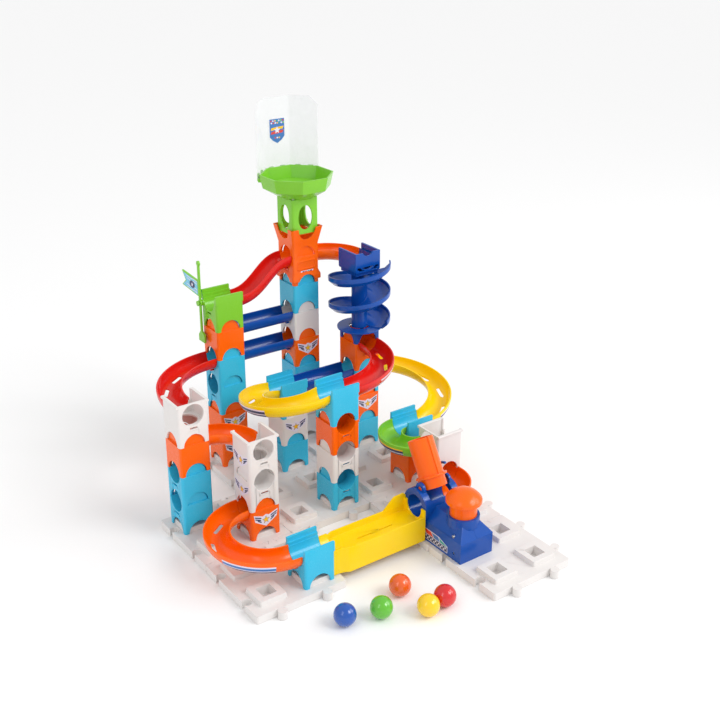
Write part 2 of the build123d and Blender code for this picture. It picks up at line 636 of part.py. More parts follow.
with BuildPart() as body:
    extrude(roof_profile(0).moved(Location((0, L_FRONT, 0))), amount=-(L_BACK - L_FRONT))
    with BuildSketch(Plane.YZ.offset(-BLOCK)):
        with BuildLine():
            Polyline((L_FRONT - 1, L_SIDE - 2), (L_FRONT + 14, L_ROOF + 1), (L_FRONT - 1, L_ROOF + 1), close=True)
        make_face()
        with BuildLine():
            Polyline((L_BACK + 1, L_SIDE), (L_BACK - 8, L_ROOF + 1), (L_BACK + 1, L_ROOF + 1), close=True)
        make_face()
    extrude(amount=2 * BLOCK, mode=Mode.SUBTRACT)
    with BuildSketch(Plane.YZ.offset(-L_END)):
        with Locations((0, LEVEL)):
            Circle(RING_R)
    extrude(amount=2 * L_END)
    with BuildSketch(Plane.XY.offset(L_ROOF - 8)):
        with Locations((0, BUTTON_Y)):
            Circle(BUTTON_R + 3.4)
    extrude(amount=13)
    for s in (-1, 1):
        with BuildSketch(Plane.YZ.offset(s * 18.4)):
            with Locations((PIVOT_Y, PIVOT_Z)):
                Circle(8)
            with Locations((PIVOT_Y, PIVOT_Z - 8)):
                Rectangle(16, 16)
            with Locations((PIVOT_Y, PIVOT_Z)):
                Circle(3.0 + FIT, mode=Mode.SUBTRACT)
        extrude(amount=s * 3.6)
    # hollow under the button, and the low cavity under the intake
    cavity = roof_profile(SHELL)
    extrude(cavity.moved(Location((0, L_FRONT + SHELL + 8, 0))), amount=L_FRONT + SHELL + 8 + RING_R + 2,
            mode=Mode.SUBTRACT)
    with BuildSketch(Plane.XY):
        with Locations((0, (L_FRONT + L_BACK) / 2)):
            Rectangle(2 * (L_HALF - SHELL), L_BACK - L_FRONT - 2 * SHELL)
    extrude(amount=22, mode=Mode.SUBTRACT)
    # spring seat and lever ribs
    with BuildSketch(Plane.XY.offset(SEAT_Z - 2)):
        with Locations((0, BUTTON_Y)):
            Rectangle(2 * L_HALF - 2, 44)
            Circle(5.5, mode=Mode.SUBTRACT)
    extrude(amount=2)
    for s in (-1, 1):
        with BuildSketch(Plane.YZ.offset(s * 4.5)):
            with Locations((LEVER_Y, 28)):
                Rectangle(9, 31)
            with Locations((LEVER_Y, LEVER_Z)):
                Circle(2.0 + FIT, mode=Mode.SUBTRACT)
        extrude(amount=s * 2.6)
    # button bore, marble tunnel, tube pocket, hammer slot
    with BuildSketch(Plane.XY.offset(SEAT_Z + 0.01)):
        with Locations((0, BUTTON_Y)):
            Circle(BUTTON_R + FIT)
    extrude(amount=L_ROOF, mode=Mode.SUBTRACT)
    with BuildSketch(Plane.YZ.offset(-BLOCK)):
        with Locations((0, LEVEL)):
            Circle(HOLE_R)
    extrude(amount=2 * BLOCK, mode=Mode.SUBTRACT)
    with BuildSketch(Plane.YZ.offset(-17.8)):
        with Locations((PIVOT_Y, PIVOT_Z)):
            Circle(TROUGH_R + 3)
    extrude(amount=35.6, mode=Mode.SUBTRACT)
    with BuildSketch(Plane.YZ.offset(-22.6)):
        with Locations((PIVOT_Y, PIVOT_Z)):
            Circle(3.0 + FIT)
    extrude(amount=45.2, mode=Mode.SUBTRACT)
    with BuildSketch(Plane.XY.offset(15)):
        with Locations((0, -9)):
            Rectangle(9, 34)
    extrude(amount=22, mode=Mode.SUBTRACT)
    # screw holes in the near side
    for y, z in ((L_FRONT + 16, L_SIDE + 3), (L_FRONT + 13, 9)):
        with BuildSketch(Plane.YZ.offset(-L_HALF - 1)):
            with Locations((y, z)):
                Circle(1.9)
        extrude(amount=9, mode=Mode.SUBTRACT)
with BuildPart() as body_left:
    add(body.part)
    split(bisect_by=Plane.YZ, keep=Keep.BOTTOM)
with BuildPart() as body_right:
    add(body.part)
    split(bisect_by=Plane.YZ, keep=Keep.TOP)
save("launcher_body_left", [body_left.part.moved(launch)])
save("launcher_body_right", [body_right.part.moved(launch)])

# Launch tube with flange, ridge and trunnions.
with BuildPart() as tube:
    with BuildSketch(tube_plane.offset(-4)):
        Circle(TROUGH_R)
    extrude(amount=TUBE_L + 4)
    with BuildSketch(tube_plane.offset(9)):
        Circle(TROUGH_R + 3.6)
    extrude(amount=2.4)
    with BuildSketch(tube_plane.offset(11)):
        with Locations((0, -TROUGH_R)):
            Rectangle(1.8, 3.6)
    extrude(amount=TUBE_L - 11)
    with BuildSketch(Plane.YZ.offset(-21.6)):
        with Locations((PIVOT_Y, PIVOT_Z)):
            Circle(3.0)
    extrude(amount=43.2)
    with BuildSketch(tube_plane.offset(-10)):
        Circle(HOLE_R)
    extrude(amount=TUBE_L + 20, mode=Mode.SUBTRACT)
    for s in (-1, 1):
        with BuildSketch(Plane.YZ.offset(s * 17.7)):
            with Locations((PIVOT_Y + 6, PIVOT_Z + 11)):
                Rectangle(60, 16)
        extrude(amount=s * 3.8, mode=Mode.SUBTRACT)
save("launcher_tube", [tube.part.moved(launch)])

# Button: mushroom cap, guide cup and stem.
CAP_LOW = LEVEL + 25.0
CAP_R = 22.0
CAP_TOP = CAP_LOW + 17.0
DOME_BIG = 26.5
with BuildPart() as dome:
    with Locations((0, 0, CAP_TOP - DOME_BIG)):
        Sphere(DOME_BIG)
    with BuildSketch(Plane.XY.offset(CAP_LOW)):
        Circle(CAP_R)
    extrude(amount=CAP_TOP - CAP_LOW, mode=Mode.INTERSECT)
    fillet(dome.edges().sort_by(Axis.Z)[0], 1.2)
with BuildPart() as button:
    add(dome.part)
    with BuildSketch(Plane.XY.offset(SEAT_Z + BUTTON_TRAVEL + 1)):
        Circle(BUTTON_R)
        Circle(BUTTON_R - 2, mode=Mode.SUBTRACT)
    extrude(amount=CAP_LOW - SEAT_Z - BUTTON_TRAVEL)
    with BuildSketch(Plane.XY.offset(STEM_LOW + 6)):
        Circle(4.5)
    extrude(amount=CAP_LOW - STEM_LOW - 5)
    with BuildSketch(Plane.XY.offset(STEM_LOW)):
        Circle(1.2)
    with BuildSketch(Plane.XY.offset(STEM_LOW + 6)):
        Circle(4.5)
    loft()
save("launcher_button", [button.part.moved(Location((0, BUTTON_Y, 0))).moved(launch)])

# Return spring round the stem.
with BuildPart() as spring:
    with BuildLine() as coil:
        Helix(pitch=5.2, height=CAP_LOW - SEAT_Z - 2.4, radius=9)
    with BuildSketch(Plane(origin=(9, 0, 0), x_dir=(1, 0, 0), z_dir=(0, 1, 0))):
        Circle(0.9)
    sweep(path=coil.line, is_frenet=True)
save("launcher_spring", [spring.part.moved(Location((0, BUTTON_Y, SEAT_Z + 1.2))).moved(launch)])

# Hammer lever: its pin turns in the ribs, its nub comes up through the tunnel floor.
with BuildPart() as hammer:
    with BuildSketch(Plane.YZ.offset(-3.5)):
        with BuildLine():
            Polyline((BUTTON_Y - 5, LEVER_Z - 1.5), (4, LEVER_Z - 1.5), (4, LEVER_Z + 6), (-4, LEVER_Z + 6),
                     (-6, LEVER_Z + 1.5), (BUTTON_Y - 5, LEVER_Z + 1.5), close=True)
        make_face()
        with Locations((LEVER_Y, LEVER_Z)):
            Circle(3.6)
    extrude(amount=7)
    with BuildSketch(Plane.YZ.offset(-7.4)):
        with Locations((LEVER_Y, LEVER_Z)):
            Circle(2.0)
    extrude(amount=14.8)
save("launcher_hammer", [hammer.part.moved(launch)])

screws = []
for y, z in ((L_FRONT + 16, L_SIDE + 3), (L_FRONT + 13, 9)):
    with BuildPart() as screw:
        with BuildSketch(Plane.YZ.offset(-L_HALF + 1.2)):
            with Locations((y, z)):
                Circle(1.7)
                Rectangle(0.6, 2.2, mode=Mode.SUBTRACT)
        extrude(amount=0.8)
        with BuildSketch(Plane.YZ.offset(-L_HALF + 1.9)):
            with Locations((y, z)):
                Circle(1.7)
        extrude(amount=4)
    screws.append(screw.part.moved(launch))
save("launcher_screws", screws)

# ---- low chutes into the launcher ----------------------------------------------------------
# Yellow tray between holder 8 and the launcher: wide basin, narrow neck, raised spout wall.
TRAY_HALF = 21.0
TRAY_L = 3 * PITCH - FACE - L_END - 2 * GAP
TRAY_LOW = 1.0
TRAY_RIM = 34.0
FLOOR = LEVEL - HOLE_R


def tray_plan(inset, grow=0.0):
    """Plan of the tray: neck, shoulders, basin."""
    half = TRAY_HALF - inset
    neck = TROUGH_R + 0.3 - inset
    with BuildSketch(Plane.XY) as sketch:
        with BuildLine():
            Polyline((-grow, -neck), (9 + inset / 2, -neck), (15, -half * 0.86), (21, -half),
                     (TRAY_L + grow, -half), (TRAY_L + grow, half), (21, half), (15, half * 0.86),
                     (9 + inset / 2, neck), (-grow, neck), close=True)
        make_face()
    return sketch.sketch


with BuildPart() as tray:
    extrude(tray_plan(0).moved(Location((0, 0, TRAY_LOW))), amount=TRAY_RIM - TRAY_LOW)
    extrude(tray_plan(2, 1).moved(Location((0, 0, FLOOR))), amount=LEVEL, mode=Mode.SUBTRACT)
    extrude(tray_plan(2, -2).moved(Location((0, 0, TRAY_LOW - 1))), amount=FLOOR - TRAY_LOW - 2.6,
            mode=Mode.SUBTRACT)
    with BuildSketch(Plane.YZ):
        with Locations((0, LEVEL)):
            Circle(TROUGH_R)
            Circle(HOLE_R, mode=Mode.SUBTRACT)
            with Locations((0, TROUGH_R)):
                Rectangle(3 * TROUGH_R, 2 * TROUGH_R + 5.4, mode=Mode.SUBTRACT)
    extrude(amount=12)
    with BuildSketch(Plane.YZ.offset(TRAY_L - 2.4)):
        with Locations((0, (TRAY_LOW + LEVEL) / 2 + 2)):
            RectangleRounded(2 * TRAY_HALF, LEVEL - TRAY_LOW + 2, 2)
        with Locations((0, LEVEL)):
            Circle(HOLE_R, mode=Mode.SUBTRACT)
    extrude(amount=2.4)
    with BuildSketch(Plane.XZ.offset(-TRAY_HALF)):
        with BuildLine():
            Polyline((TRAY_L - 34, TRAY_RIM - 2), (TRAY_L - 34, TRAY_RIM), (TRAY_L - 18, LEVEL + 8),
                     (TRAY_L - 3, LEVEL + 9), (TRAY_L, LEVEL + 6), (TRAY_L, TRAY_RIM - 2), close=True)
        make_face()
    extrude(amount=2.2)
    for along in (0.42, 0.66):
        with BuildSketch(Plane.XY.offset(FLOOR - 6)):
            with Locations((TRAY_L * along, 0)):
                SlotOverall(20, 2.4)
        extrude(amount=12, mode=Mode.SUBTRACT)
    end_hook(Plane(origin=(0, 0, LEVEL), x_dir=(0, -1, 0), z_dir=(-1, 0, 0)))
save("tray_yellow", [tray.part.moved(spot(-2, -2)).moved(Location((FACE + GAP, 0, 0)))])

# Orange outlet: tower 10's -Y hole to the launcher's +X ring.
OUTLET_R = PITCH - L_END - GAP
OUTLET_LEAD = PITCH - FACE - GAP - OUTLET_R
with BuildPart() as outlet:
    with BuildSketch(Plane.XZ):
        with Locations((OUTLET_R, 0)):
            add(trough_sketch())
    revolve(axis=Axis.Z, revolution_arc=-90)
    with BuildSketch(Plane.XZ):
        with Locations((OUTLET_R, 0)):
            add(trough_sketch())
    extrude(amount=-OUTLET_LEAD)
    end_hook(Plane(origin=(OUTLET_R, OUTLET_LEAD, 0), x_dir=(-1, 0, 0), z_dir=(0, 1, 0)))
outlet_place = Location((PITCH + L_END + GAP, -PITCH - FACE - GAP - OUTLET_LEAD, height(1)))
save("track_orange_outlet", [outlet.part.moved(outlet_place)])

# ---- base plates ---------------------------------------------------------------------------
PEG_R = 5.5
PEG_OUT = 5.0
SEAM = 0.15


def base_plate(nx=2, ny=2):
    """Plate of nx by ny places; the local origin is its first place. Pegs on +X and -Y."""
    width = nx * PITCH - 2 * SEAM
    depth = ny * PITCH - 2 * SEAM
    mid = ((nx - 1) * PITCH / 2, (ny - 1) * PITCH / 2)
    left = -PITCH / 2
    right = (nx - 0.5) * PITCH
    low = -PITCH / 2
    high = (ny - 0.5) * PITCH
    with BuildPart() as plate:
        with BuildSketch(Plane.XY.offset(-PLATE_T)):
            with Locations(mid):
                RectangleRounded(width, depth, 3)
            for n in range(ny):
                with Locations((right + PEG_OUT, n * PITCH)):
                    Circle(PEG_R)
                with Locations((right + PEG_OUT / 2 - 1, n * PITCH)):
                    Rectangle(PEG_OUT + 2, 6)
                with Locations((left + PEG_OUT, n * PITCH)):
                    Circle(PEG_R + FIT, mode=Mode.SUBTRACT)
                with Locations((left + PEG_OUT / 2 - 1, n * PITCH)):
                    Rectangle(PEG_OUT + 2, 6 + 2 * FIT, mode=Mode.SUBTRACT)
            for n in range(nx):
                with Locations((n * PITCH, low - PEG_OUT)):
                    Circle(PEG_R)
                with Locations((n * PITCH, low - PEG_OUT / 2 + 1)):
                    Rectangle(6, PEG_OUT + 2)
                with Locations((n * PITCH, high - PEG_OUT)):
                    Circle(PEG_R + FIT, mode=Mode.SUBTRACT)
                with Locations((n * PITCH, high - PEG_OUT / 2 + 1)):
                    Rectangle(6 + 2 * FIT, PEG_OUT + 2, mode=Mode.SUBTRACT)
        extrude(amount=PLATE_T)
        for i in range(nx):
            for j in range(ny):
                with BuildSketch(Plane.XY):
                    with Locations((i * PITCH, j * PITCH)):
                        RectangleRounded(COLLAR, COLLAR, 2)
                with BuildSketch(Plane.XY.offset(PAD_H)):
                    with Locations((i * PITCH, j * PITCH)):
                        RectangleRounded(COLLAR - 2, COLLAR - 2, 1.6)
                loft()
                with BuildSketch(Plane.XY.offset(PAD_H)):
                    with Locations((i * PITCH, j * PITCH)):
                        RectangleRounded(COLLAR / 2, COLLAR / 2, 1)
                extrude(amount=-PAD_H - PLATE_T * 0.6, mode=Mode.SUBTRACT)
    return plate.part


plate = base_plate()
save("plates_left", [plate.moved(spot(i, j)) for i, j in ((-3, -2), (-3, 0))])
save("plates_middle", [plate.moved(spot(i, j)) for i, j in ((-1, 0), (1, 0), (-1, 2), (1, 2))])
save("plates_right", [plate.moved(spot(i, j)) for i, j in ((1, -2), (1, -4))])

# ---- marbles on the table ------------------------------------------------------------------
marbles = {
    "marble_blue": (-130.4, -204.4),
    "marble_green": (-90.1, -217.0),
    "marble_orange": (-48.9, -196.9),
    "marble_yellow": (-45.6, -244.4),
    "marble_red": (-19.7, -241.7),
}
for name, (x, y) in marbles.items():
    with BuildPart() as marble:
        Sphere(BALL_D / 2)
    save(name, [marble.part.moved(Location((x, y, BALL_D / 2)))])
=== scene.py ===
# %% [markdown]
# # Marble run, lesson in Blender
# The toy is a set of injection-moulded ABS blocks, troughs and base plates that press together.
# Its exact shapes come from the CAD frame, so this lesson is about everything the CAD does not say:
# how light meets a moulded edge, what glossy ABS looks like, where the decals sit and how a soft
# studio shows bright plastic. The frame is loaded first, because every piece is placed from it.

# %% Load the frame
import json
from math import atan2, cos, pi, radians, sin

import bmesh
import bpy
from mathutils import Matrix, Vector

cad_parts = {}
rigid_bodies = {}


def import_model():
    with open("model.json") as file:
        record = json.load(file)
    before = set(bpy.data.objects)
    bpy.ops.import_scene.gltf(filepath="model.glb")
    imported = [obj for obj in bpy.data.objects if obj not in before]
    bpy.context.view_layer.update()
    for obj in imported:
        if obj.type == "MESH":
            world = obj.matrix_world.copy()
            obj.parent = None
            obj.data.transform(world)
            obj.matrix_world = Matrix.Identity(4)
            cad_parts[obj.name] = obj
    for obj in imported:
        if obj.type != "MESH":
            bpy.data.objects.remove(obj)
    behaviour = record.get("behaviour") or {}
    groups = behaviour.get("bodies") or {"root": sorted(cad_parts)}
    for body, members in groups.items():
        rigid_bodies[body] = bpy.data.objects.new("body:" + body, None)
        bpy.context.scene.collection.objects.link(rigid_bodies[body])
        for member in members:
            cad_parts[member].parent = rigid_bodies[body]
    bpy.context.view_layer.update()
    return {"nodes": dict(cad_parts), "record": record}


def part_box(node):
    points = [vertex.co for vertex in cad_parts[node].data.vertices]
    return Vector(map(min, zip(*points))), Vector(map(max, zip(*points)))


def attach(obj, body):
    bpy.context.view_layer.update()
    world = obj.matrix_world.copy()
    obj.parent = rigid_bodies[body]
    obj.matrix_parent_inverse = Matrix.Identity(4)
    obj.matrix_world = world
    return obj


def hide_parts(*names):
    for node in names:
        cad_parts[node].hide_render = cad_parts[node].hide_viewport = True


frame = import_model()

# %% [markdown]
# The towers stand on a square lattice. Its pitch and its level height are measured from the boxes of
# a few blocks rather than typed in, so every decal and lamp below follows the real blocks.

# %% Measure the lattice
MM = 0.001
post_low, post_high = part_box("tower5_lightblue")
east_low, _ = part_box("tower9_orange")
second_low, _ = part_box("tower5_white")
BLOCK = post_high.x - post_low.x
FACE = BLOCK / 2
PITCH = (east_low.x - post_low.x) / 2
LEVEL = second_low.z - post_low.z
BASE = post_low.z
TROUGH_R = 16.2 * MM     # outer radius of a trough
GAP = 0.3 * MM           # room at a track's end


def place(i, j, level=0.0):
    """Foot centre of the block at tower place (i, j), at the given level."""
    return Vector((i * PITCH, j * PITCH, BASE + level * LEVEL))


print(f"block {BLOCK / MM:.1f}  pitch {PITCH / MM:.1f}  level {LEVEL / MM:.1f} mm")

# %% [markdown]
# A product camera stands a little above the table and looks down at a corner of the tower nearest to
# it. A longish lens from about 1.4 m keeps the upright edges nearly parallel. The camera is turned
# with two angles only, azimuth and elevation, so it never rolls. A small shift lets it tilt less,
# which is how a studio camera keeps tall towers upright.

# %% Camera
AZIMUTH, ELEVATION = -35.51, 21.09
DISTANCE = 33.787        # in block widths, like the two aims
AIM_RIGHT, AIM_UP = 0.831, 6.498
LENS = 53.4
WIDTH = 40.5 * MM        # nominal block width
back = Vector((sin(radians(AZIMUTH)) * cos(radians(ELEVATION)),
               -cos(radians(AZIMUTH)) * cos(radians(ELEVATION)), sin(radians(ELEVATION))))
right = Vector((cos(radians(AZIMUTH)), sin(radians(AZIMUTH)), 0))
up = back.cross(right)
aim = Vector((post_low.x, post_low.y, BASE)) + WIDTH * (AIM_RIGHT * right + AIM_UP * up)
camera_data = bpy.data.cameras.new("studio_camera")
camera = bpy.data.objects.new("studio_camera", camera_data)
bpy.context.scene.collection.objects.link(camera)
camera.location = aim + back * WIDTH * DISTANCE
camera.rotation_euler = (radians(90 - ELEVATION), 0, radians(AZIMUTH))
camera_data.sensor_width = 36
camera_data.lens = LENS
camera_data.shift_y = -0.075
camera_data.clip_start = 0.05
camera_data.clip_end = 20
bpy.context.scene.camera = camera
print("camera at", [round(c, 3) for c in camera.location], "lens", round(camera_data.lens, 1))

# %% [markdown]
# ## Small helpers
# Operators act on everything that is selected, and loading the frame leaves the CAD nodes selected.
# So each piece starts by clearing the selection. At the end its place is written into its mesh, which
# leaves the object at the origin, unturned, exactly as the CAD nodes are.

# %% Selection and finishing helpers
def clear_selection():
    """Nothing selected, nothing in edit mode."""
    if bpy.context.object and bpy.context.object.mode != "OBJECT":
        bpy.ops.object.mode_set(mode="OBJECT")
    for thing in bpy.context.selected_objects:
        thing.select_set(False)


def hold(piece):
    """Make one object the only selected and active one."""
    clear_selection()
    piece.select_set(True)
    bpy.context.view_layer.objects.active = piece
    return piece


def settle(piece, matrix=None):
    """Write the object's place, and an extra one, into its mesh."""
    bpy.context.view_layer.update()
    piece.data.transform((matrix or Matrix.Identity(4)) @ piece.matrix_world)
    if (matrix or piece.matrix_world).determinant() < 0:
        piece.data.flip_normals()
    piece.matrix_world = Matrix.Identity(4)
    return piece


def finish_piece(piece, body, angle=35):
    """Smooth by angle and ride on a body."""
    hold(piece)
    if angle:
        bpy.ops.object.shade_smooth_by_angle(angle=radians(angle))
    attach(piece, body)
    return piece


print("helpers ready")

# %% [markdown]
# Colours are chosen as sRGB hex values, the way a moulder's colour card is read. Shaders work in
# linear light, so one function turns a hex value into linear numbers.

# %% Colour and node helpers
def colour(code):
    """Linear RGBA of an sRGB hex value."""
    parts = [int(code[k:k + 2], 16) / 255 for k in (1, 3, 5)]
    return [c / 12.92 if c <= 0.04045 else ((c + 0.055) / 1.055) ** 2.4 for c in parts] + [1.0]


def add_node(tree, kind, values=None, links=None, **settings):
    """Add one node, set its properties and sockets, and link named inputs."""
    made = tree.nodes.new(kind)
    for key, value in settings.items():
        setattr(made, key, value)
    for key, value in (values or {}).items():
        made.inputs[key].default_value = value
    for key, source in (links or {}).items():
        tree.links.new(source, made.inputs[key])
    return made


def blank(name):
    """A new material holding one texture coordinate node, and that node's object coordinates."""
    material = bpy.data.materials.new(name)
    material.use_nodes = True
    material.node_tree.nodes.clear()
    place_node = add_node(material.node_tree, "ShaderNodeTexCoord")
    return material, material.node_tree, place_node.outputs["Object"]


def mixed(tree, factor, low, high):
    """Colour between two, by a factor socket."""
    mix = add_node(tree, "ShaderNodeMix", data_type="RGBA", links={0: factor})
    mix.inputs[6].default_value = low
    mix.inputs[7].default_value = high
    return mix.outputs[2]


def output(tree, shader):
    """End the tree."""
    add_node(tree, "ShaderNodeOutputMaterial", links={"Surface": shader})


print("colour helper: #FFFFFF ->", colour("#FFFFFF"))

# %% [markdown]
# ## Glossy moulded ABS
# The blocks are acrylonitrile butadiene styrene shot into polished steel moulds. Such a skin is
# glossy, but never a mirror: it carries a very shallow waviness from shrinkage, about 6 to 10 mm
# from crest to crest, and a fine haze of handling scuffs under a millimetre. The pigment is nearly
# even, with cloudy flow marks some 25 mm wide. One recipe with three noises gives all of this, and
# each colour is its own material made by it.

# %% Recipe for moulded ABS
def moulded_abs(name, base, flow, roughness=0.22, waviness=0.12):
    """Glossy ABS: base colour, a slightly different flow-mark colour, and a shallow wavy skin."""
    material, tree, spot = blank(name)
    cloud = add_node(tree, "ShaderNodeTexNoise", {"Scale": 1 / 0.025, "Detail": 2.0}, {"Vector": spot})
    scuff = add_node(tree, "ShaderNodeTexNoise", {"Scale": 1 / 0.0008, "Detail": 3.0}, {"Vector": spot})
    wave = add_node(tree, "ShaderNodeTexNoise", {"Scale": 1 / 0.008, "Detail": 1.0}, {"Vector": spot})
    haze = add_node(tree, "ShaderNodeMapRange",
                    {"From Min": 0.35, "From Max": 0.7,
                     "To Min": roughness - 0.04, "To Max": roughness + 0.08},
                    {"Value": scuff.outputs["Fac"]})
    skin = add_node(tree, "ShaderNodeBump", {"Strength": waviness, "Distance": 0.0004},
                    {"Height": wave.outputs["Fac"]})
    abs_shader = add_node(tree, "ShaderNodeBsdfPrincipled",
                          {"IOR": 1.53, "Specular IOR Level": 0.34},
                          {"Base Color": mixed(tree, cloud.outputs["Fac"], colour(base), colour(flow)),
                           "Roughness": haze.outputs["Result"], "Normal": skin.outputs["Normal"]})
    output(tree, abs_shader.outputs["BSDF"])
    return material


print("recipe ready")

# %% [markdown]
# The colours of the set: sky blue, orange, red, yellow, apple green, royal blue and a warm white.
# Royal blue is the glossiest, and white the least glossy.

# %% The seven block colours
abs_plastic = {
    "lightblue_plastic": moulded_abs("sky_blue_glossy_abs", "#3CC2E7", "#35BAE1"),
    "orange_plastic": moulded_abs("orange_glossy_abs", "#FF6A02", "#FB6100"),
    "red_plastic": moulded_abs("red_glossy_abs", "#E41F16", "#DA1912"),
    "yellow_plastic": moulded_abs("yellow_glossy_abs", "#FFDA0A", "#FCD204"),
    "green_plastic": moulded_abs("apple_green_glossy_abs", "#83CC33", "#7AC42C"),
    "darkblue_plastic": moulded_abs("royal_blue_glossy_abs", "#0D50AC", "#0B489F", roughness=0.17),
    "white_plastic": moulded_abs("warm_white_glossy_abs", "#E9E5E3", "#E3DFDC", roughness=0.32),
}
print("ABS colours:", ", ".join(abs_plastic))

# %% [markdown]
# The marbles are hollow-moulded and polished, a touch glossier than the blocks, with a clear topcoat
# and faint swirls in the pigment where the melt met itself.

# %% Marble plastic
def polished_marble(name, base, swirl):
    """Polished ABS marble: swirled pigment under a clear coat."""
    material, tree, spot = blank(name)
    swirls = add_node(tree, "ShaderNodeTexNoise", {"Scale": 1 / 0.012, "Detail": 3.0, "Distortion": 2.5},
                      {"Vector": spot})
    scuff = add_node(tree, "ShaderNodeTexNoise", {"Scale": 1 / 0.0015, "Detail": 3.0}, {"Vector": spot})
    gloss = add_node(tree, "ShaderNodeMapRange", {"To Min": 0.14, "To Max": 0.26},
                     {"Value": scuff.outputs["Fac"]})
    shader = add_node(tree, "ShaderNodeBsdfPrincipled",
                      {"IOR": 1.53, "Coat Weight": 0.5, "Coat Roughness": 0.05},
                      {"Base Color": mixed(tree, swirls.outputs["Fac"], colour(base), colour(swirl)),
                       "Roughness": gloss.outputs["Result"]})
    output(tree, shader.outputs["BSDF"])
    return material


marble_plastic = {
    "marble_blue": polished_marble("blue_polished_marble", "#0B55B4", "#0A4AA2"),
    "marble_green": polished_marble("green_polished_marble", "#63BE2E", "#58B226"),
    "marble_orange": polished_marble("orange_polished_marble", "#F0641E", "#E65A14"),
    "marble_yellow": polished_marble("yellow_polished_marble", "#FFD118", "#F6C60E"),
    "marble_red": polished_marble("red_polished_marble", "#DC1E22", "#CC161C"),
}
print("marbles:", len(marble_plastic))

# %% [markdown]
# The shield behind the funnel is a sheet of clear polystyrene with a light frosting. It lets nearly
# all light through, scatters some of it, and shows its edges as a pale grey line. A mix of a clear
# shader and a thin milky one gives that without heavy refraction.

# %% Frosted clear sheet
def frosted_sheet(name):
    """Clear polystyrene sheet with a light, slightly uneven frosting."""
    material, tree, spot = blank(name)
    frost = add_node(tree, "ShaderNodeTexNoise", {"Scale": 1 / 0.02, "Detail": 4.0}, {"Vector": spot})
    grain = add_node(tree, "ShaderNodeTexNoise", {"Scale": 1 / 0.0012, "Detail": 2.0}, {"Vector": spot})
    milky = add_node(tree, "ShaderNodeMapRange", {"To Min": 0.16, "To Max": 0.3},
                     {"Value": frost.outputs["Fac"]})
    bump = add_node(tree, "ShaderNodeBump", {"Strength": 0.08, "Distance": 0.0002},
                    {"Height": grain.outputs["Fac"]})
    shader = add_node(tree, "ShaderNodeBsdfPrincipled",
                      {"Base Color": colour("#EDEFF1"), "IOR": 1.58, "Roughness": 0.28},
                      {"Alpha": milky.outputs["Result"], "Normal": bump.outputs["Normal"]})
    output(tree, shader.outputs["BSDF"])
    return material


shield_sheet = frosted_sheet("frosted_clear_polystyrene")
print("shield sheet ready")

# %% [markdown]
# Spring and screws are zinc-plated steel: a metal with fine drawn streaks, so its roughness changes
# along a stretched noise.

# %% Plated steel
def plated_steel(name):
    """Zinc-plated steel with fine drawn streaks."""
    material, tree, spot = blank(name)
    drawn = add_node(tree, "ShaderNodeMapping", {"Scale": (1.0, 1.0, 6.0)}, {"Vector": spot})
    streak = add_node(tree, "ShaderNodeTexNoise", {"Scale": 1 / 0.0015, "Detail": 4.0},
                      {"Vector": drawn.outputs["Vector"]})
    rough = add_node(tree, "ShaderNodeMapRange", {"To Min": 0.22, "To Max": 0.45},
                     {"Value": streak.outputs["Fac"]})
    shader = add_node(tree, "ShaderNodeBsdfPrincipled", {"Metallic": 1.0},
                      {"Base Color": mixed(tree, streak.outputs["Fac"], colour("#C9CBCE"), colour("#B4B7BB")),
                       "Roughness": rough.outputs["Result"]})
    output(tree, shader.outputs["BSDF"])
    return material


steel = plated_steel("zinc_plated_steel")
print("steel ready")

# %% [markdown]
# ## Every CAD part gets a moulded edge
# A steel mould cannot hold a perfectly sharp corner, so each edge of a moulded part has a radius of
# a few tenths of a millimetre, and that thin round is what catches the light. The CAD solids are
# sharp. Each one is copied, its loose triangles are merged, its flat areas are dissolved and cut
# again into well-shaped triangles, and a Bevel modifier rounds the edges that turn sharply. The copy
# then stands for the node.

# %% Prepare a clean copy of one node
def clean_copy(node):
    """A copy of a CAD node with its triangles merged and its flat areas tidied."""
    copy = bpy.data.objects.new("moulded_" + node, frame["nodes"][node].data.copy())
    bpy.context.scene.collection.objects.link(copy)
    hold(copy)
    bpy.ops.object.mode_set(mode="EDIT")
    bpy.ops.mesh.select_all(action="SELECT")
    bpy.ops.mesh.customdata_custom_splitnormals_clear()
    bpy.ops.mesh.remove_doubles(threshold=0.03 * MM)
    bpy.ops.mesh.dissolve_limited(angle_limit=radians(1.0))
    bpy.ops.mesh.select_all(action="SELECT")
    bpy.ops.mesh.quads_convert_to_tris(quad_method="BEAUTY", ngon_method="BEAUTY")
    bpy.ops.object.mode_set(mode="OBJECT")
    return copy


def skin_area(piece):
    """Area of all faces, in square millimetres."""
    return sum(face.area for face in piece.data.polygons) / MM ** 2


print("clean copies are made by merge, dissolve and triangulate")

# %% [markdown]
# Rounding an edge always takes a little area away. Where a wall is thinner than the round, faces
# fold over each other and the area grows instead, which shows as black wedges. So the helper tries a
# radius, measures the area, and starts again with a smaller one if the area grew. Weighted Normal
# then keeps large faces flat beside the narrow rounds.

